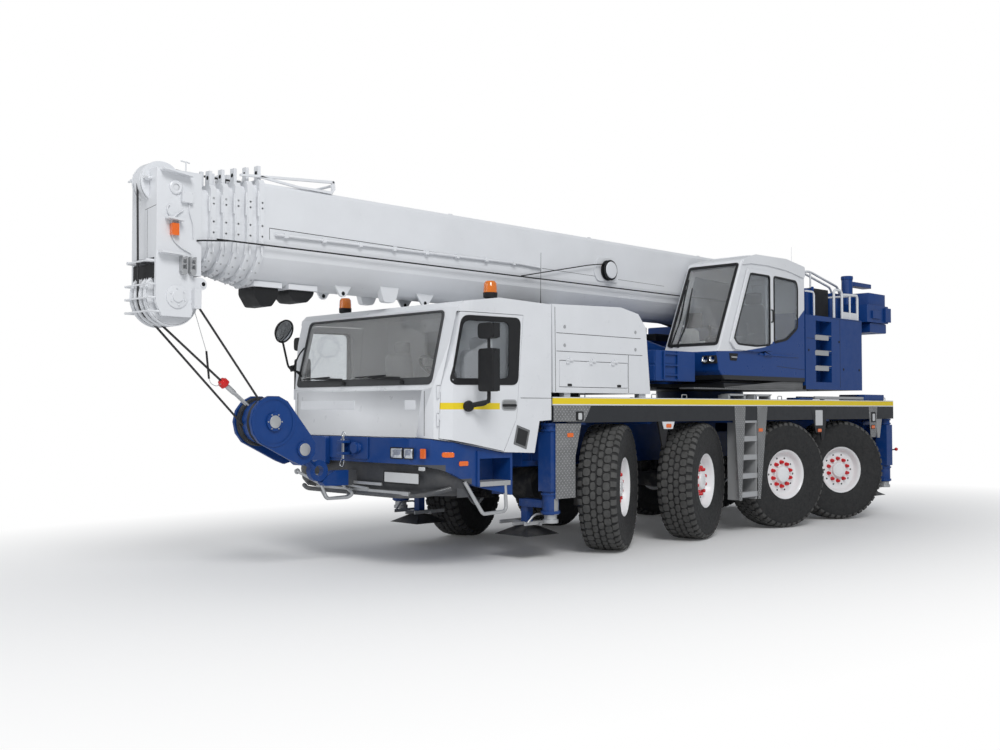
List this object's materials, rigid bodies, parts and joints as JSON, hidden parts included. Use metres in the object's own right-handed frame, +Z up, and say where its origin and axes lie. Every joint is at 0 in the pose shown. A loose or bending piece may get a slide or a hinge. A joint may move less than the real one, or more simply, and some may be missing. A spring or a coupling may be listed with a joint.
{
  "type": "mobile crane",
  "caption": "All-terrain telescopic mobile crane in road trim: low front cab, steered axles, outriggers, slewing upper with cab, luffing boom and stowed hook block.",
  "frame": {"origin": "centre of the bounding box in plan, on the ground under the tyres", "axes": "+X forward over the cab, +Y to the machine left, +Z up"},
  "size_m": [12.04, 3.36, 3.91],
  "materials": {
    "white": "gloss paint",
    "blue": "gloss paint",
    "dark": "satin black paint",
    "grey": "satin grey paint",
    "tyre": "moulded rubber",
    "rim": "gloss paint",
    "chrome": "hard chrome",
    "glass": "tinted glass",
    "trim": "moulded plastic",
    "seat": "woven cover",
    "engine": "cast and painted",
    "sheave": "cast polyamide"
  },
  "bodies": {
    "carrier": {"chassis_frame": "blue", "axles": "dark", "deck": "white", "carrier_cab": "white", "windshield": "glass", "cab_interior": "trim", "front_bumper": "blue", "engine_hood": "white", "engine_block": "engine"},
    "steer_1l": {"knuckle_1l": "dark"},
    "wheel_1l": {"tyre_1l": "tyre", "rim_1l": "rim"},
    "steer_1r": {"knuckle_1r": "dark"},
    "wheel_1r": {"tyre_1r": "tyre", "rim_1r": "rim"},
    "steer_2l": {"knuckle_2l": "dark"},
    "wheel_2l": {"tyre_2l": "tyre", "rim_2l": "rim"},
    "steer_2r": {"knuckle_2r": "dark"},
    "wheel_2r": {"tyre_2r": "tyre", "rim_2r": "rim"},
    "steer_3l": {"knuckle_3l": "dark"},
    "wheel_3l": {"tyre_3l": "tyre", "rim_3l": "rim"},
    "steer_3r": {"knuckle_3r": "dark"},
    "wheel_3r": {"tyre_3r": "tyre", "rim_3r": "rim"},
    "steer_4l": {"knuckle_4l": "dark"},
    "wheel_4l": {"tyre_4l": "tyre", "rim_4l": "rim"},
    "steer_4r": {"knuckle_4r": "dark"},
    "wheel_4r": {"tyre_4r": "tyre", "rim_4r": "rim"},
    "cab_door_l": {"cab_door_l": "white"},
    "cab_door_r": {"cab_door_r": "white"},
    "engine_hatch": {"engine_hatch": "white"},
    "outrigger_beam_front_l": {"outrigger_beam_front_l": "blue"},
    "outrigger_jack_front_l": {"outrigger_jack_front_l": "grey"},
    "outrigger_beam_front_r": {"outrigger_beam_front_r": "blue"},
    "outrigger_jack_front_r": {"outrigger_jack_front_r": "grey"},
    "outrigger_beam_rear_l": {"outrigger_beam_rear_l": "blue"},
    "outrigger_jack_rear_l": {"outrigger_jack_rear_l": "grey"},
    "outrigger_beam_rear_r": {"outrigger_beam_rear_r": "blue"},
    "outrigger_jack_rear_r": {"outrigger_jack_rear_r": "grey"},
    "superstructure": {"superstructure": "blue", "crane_cab": "white", "crane_seat": "seat", "counterweight": "blue"},
    "crane_cab_door": {"crane_cab_door": "white"},
    "winch": {"winch": "blue"},
    "boom_base": {"boom_base": "white"},
    "boom_section_1": {"boom_section_1": "white"},
    "boom_section_2": {"boom_section_2": "white"},
    "boom_section_3": {"boom_section_3": "white"},
    "boom_section_4": {"boom_section_4": "white"},
    "boom_section_5": {"boom_section_5": "white"},
    "luff_barrel": {"luff_barrel": "blue"},
    "luff_rod": {"luff_rod": "chrome"},
    "head_sheaves": {"head_sheaves": "sheave"},
    "hook_block": {"hook_block": "blue"}
  },
  "joints": [
    {"name": "steer_1l", "type": "hinge", "parent": "carrier", "child": "steer_1l", "pos_m": [0.89, 0.95, 0.725], "axis": [0, 0, 1], "range_deg": [-64, 8]},
    {"name": "spin_1l", "type": "hinge", "parent": "steer_1l", "child": "wheel_1l", "pos_m": [0.79493, 1.1288, 0.725], "axis": [-0.4695, 0.8829, 0], "continuous": true},
    {"name": "steer_1r", "type": "hinge", "parent": "carrier", "child": "steer_1r", "pos_m": [0.89, -0.95, 0.725], "axis": [0, 0, 1], "range_deg": [-47.09, 5.89]},
    {"name": "spin_1r", "type": "hinge", "parent": "steer_1r", "child": "wheel_1r", "pos_m": [0.96125, -1.13955, 0.725], "axis": [-0.3518, 0.9361, 0], "continuous": true},
    {"name": "steer_2l", "type": "hinge", "parent": "carrier", "child": "steer_2l", "pos_m": [-0.75, 0.95, 0.725], "axis": [0, 0, 1], "range_deg": [-38.86, 4.86]},
    {"name": "spin_2l", "type": "hinge", "parent": "steer_2l", "child": "wheel_2l", "pos_m": [-0.80921, 1.14365, 0.725], "axis": [-0.2924, 0.9563, 0], "continuous": true},
    {"name": "steer_2r", "type": "hinge", "parent": "carrier", "child": "steer_2r", "pos_m": [-0.75, -0.95, 0.725], "axis": [0, 0, 1], "range_deg": [-28.57, 3.57]},
    {"name": "spin_2r", "type": "hinge", "parent": "steer_2r", "child": "wheel_2r", "pos_m": [-0.70617, -1.1477, 0.725], "axis": [-0.2164, 0.9763, 0], "continuous": true},
    {"name": "steer_3l", "type": "hinge", "parent": "carrier", "child": "steer_3l", "pos_m": [-2.83, 0.95, 0.725], "axis": [0, 0, 1], "range_deg": [-4.83, 33.83]},
    {"name": "spin_3l", "type": "hinge", "parent": "steer_3l", "child": "wheel_3l", "pos_m": [-2.7793, 1.14605, 0.725], "axis": [0.2504, 0.9681, 0], "continuous": true},
    {"name": "steer_3r", "type": "hinge", "parent": "carrier", "child": "steer_3r", "pos_m": [-2.83, -0.95, 0.725], "axis": [0, 0, 1], "range_deg": [-3.57, 24.97]},
    {"name": "spin_3r", "type": "hinge", "parent": "steer_3r", "child": "wheel_3r", "pos_m": [-2.8676, -1.14898, 0.725], "axis": [0.1857, 0.9826, 0], "continuous": true},
    {"name": "steer_4l", "type": "hinge", "parent": "carrier", "child": "steer_4l", "pos_m": [-4.5, 0.95, 0.725], "axis": [0, 0, 1], "range_deg": [-9, 63]},
    {"name": "spin_4l", "type": "hinge", "parent": "steer_4l", "child": "wheel_4l", "pos_m": [-4.40807, 1.13043, 0.725], "axis": [0.454, 0.891, 0], "continuous": true},
    {"name": "steer_4r", "type": "hinge", "parent": "carrier", "child": "steer_4r", "pos_m": [-4.5, -0.95, 0.725], "axis": [0, 0, 1], "range_deg": [-6.63, 46.43]},
    {"name": "spin_4r", "type": "hinge", "parent": "steer_4r", "child": "wheel_4r", "pos_m": [-4.56893, -1.14041, 0.725], "axis": [0.3404, 0.9403, 0], "continuous": true},
    {"name": "cab_door_l", "type": "hinge", "parent": "carrier", "child": "cab_door_l", "pos_m": [3.498, 1.219, 1.8], "axis": [0, 0, -1], "range_deg": [0, 75]},
    {"name": "cab_door_r", "type": "hinge", "parent": "carrier", "child": "cab_door_r", "pos_m": [3.498, -1.219, 1.8], "axis": [0, 0, 1], "range_deg": [0, 75]},
    {"name": "engine_hatch", "type": "hinge", "parent": "carrier", "child": "engine_hatch", "pos_m": [1.29, 1.352, 2.14], "axis": [1, 0, 0], "range_deg": [0, 80]},
    {"name": "outrigger_beam_front_l", "type": "slide", "parent": "carrier", "child": "outrigger_beam_front_l", "axis": [0, 1, 0], "range_m": [0, 1.65]},
    {"name": "outrigger_jack_front_l", "type": "slide", "parent": "outrigger_beam_front_l", "child": "outrigger_jack_front_l", "axis": [0, 0, -1], "range_m": [0, 0.5]},
    {"name": "outrigger_beam_front_r", "type": "slide", "parent": "carrier", "child": "outrigger_beam_front_r", "axis": [0, -1, 0], "range_m": [0, 1.65]},
    {"name": "outrigger_jack_front_r", "type": "slide", "parent": "outrigger_beam_front_r", "child": "outrigger_jack_front_r", "axis": [0, 0, -1], "range_m": [0, 0.5]},
    {"name": "outrigger_beam_rear_l", "type": "slide", "parent": "carrier", "child": "outrigger_beam_rear_l", "axis": [0, 1, 0], "range_m": [0, 1.65]},
    {"name": "outrigger_jack_rear_l", "type": "slide", "parent": "outrigger_beam_rear_l", "child": "outrigger_jack_rear_l", "axis": [0, 0, -1], "range_m": [0, 0.5]},
    {"name": "outrigger_beam_rear_r", "type": "slide", "parent": "carrier", "child": "outrigger_beam_rear_r", "axis": [0, -1, 0], "range_m": [0, 1.65]},
    {"name": "outrigger_jack_rear_r", "type": "slide", "parent": "outrigger_beam_rear_r", "child": "outrigger_jack_rear_r", "axis": [0, 0, -1], "range_m": [0, 0.5]},
    {"name": "slew", "type": "hinge", "parent": "carrier", "child": "superstructure", "pos_m": [-2.61, 0, 1.86], "axis": [0, 0, 1], "continuous": true},
    {"name": "crane_cab_door", "type": "slide", "parent": "superstructure", "child": "crane_cab_door", "axis": [-1, 0, 0], "range_m": [0, 0.62]},
    {"name": "winch", "type": "hinge", "parent": "superstructure", "child": "winch", "pos_m": [-5.07, 0, 2.48], "axis": [0, 1, 0], "continuous": true},
    {"name": "luff", "type": "hinge", "parent": "superstructure", "child": "boom_base", "pos_m": [-4.41, 0, 3.15], "axis": [0, -1, 0], "range_deg": [0, 78]},
    {"name": "telescope_1", "type": "slide", "parent": "boom_base", "child": "boom_section_1", "axis": [1, 0, 0], "range_m": [0, 8]},
    {"name": "telescope_2", "type": "slide", "parent": "boom_section_1", "child": "boom_section_2", "axis": [1, 0, 0], "range_m": [0, 8]},
    {"name": "telescope_3", "type": "slide", "parent": "boom_section_2", "child": "boom_section_3", "axis": [1, 0, 0], "range_m": [0, 8]},
    {"name": "telescope_4", "type": "slide", "parent": "boom_section_3", "child": "boom_section_4", "axis": [1, 0, 0], "range_m": [0, 8]},
    {"name": "telescope_5", "type": "slide", "parent": "boom_section_4", "child": "boom_section_5", "axis": [1, 0, 0], "range_m": [0, 8]},
    {"name": "luff_barrel", "type": "hinge", "parent": "superstructure", "child": "luff_barrel", "pos_m": [-3.11, 0, 2.1], "axis": [0, -1, 0], "range_deg": [0, 78.63]},
    {"name": "luff_rod", "type": "slide", "parent": "luff_barrel", "child": "luff_rod", "axis": [0.9834, 0, 0.1815], "range_m": [-0.0001, 2.10288]},
    {"name": "hook_swing", "type": "hinge", "parent": "boom_section_5", "child": "head_sheaves", "pos_m": [5.74, 0, 2.62], "axis": [0, -1, 0], "range_deg": [-33.69, 0]},
    {"name": "hoist", "type": "slide", "parent": "head_sheaves", "child": "hook_block", "axis": [0.6985, 0, 0.7156], "range_m": [0, 0.5]}
  ],
  "couplings": [
    {"joint": "steer_1r", "follows": "steer_1l", "ratio": 0.73571},
    {"joint": "steer_2l", "follows": "steer_1l", "ratio": 0.60714},
    {"joint": "steer_2r", "follows": "steer_1l", "ratio": 0.44643},
    {"joint": "steer_3l", "follows": "steer_4l", "ratio": 0.53704},
    {"joint": "steer_3r", "follows": "steer_4l", "ratio": 0.3963},
    {"joint": "steer_4r", "follows": "steer_4l", "ratio": 0.73704},
    {"joint": "telescope_2", "follows": "telescope_1", "ratio": 1},
    {"joint": "telescope_3", "follows": "telescope_1", "ratio": 1},
    {"joint": "telescope_4", "follows": "telescope_1", "ratio": 1},
    {"joint": "telescope_5", "follows": "telescope_1", "ratio": 1},
    {"joint": "luff_barrel", "follows": "luff", "ratio": 1.008},
    {"joint": "luff_rod", "follows": "luff", "m_per_rad": 1.5446},
    {"joint": "hook_swing", "follows": "luff", "ratio": -0.43192}
  ]
}
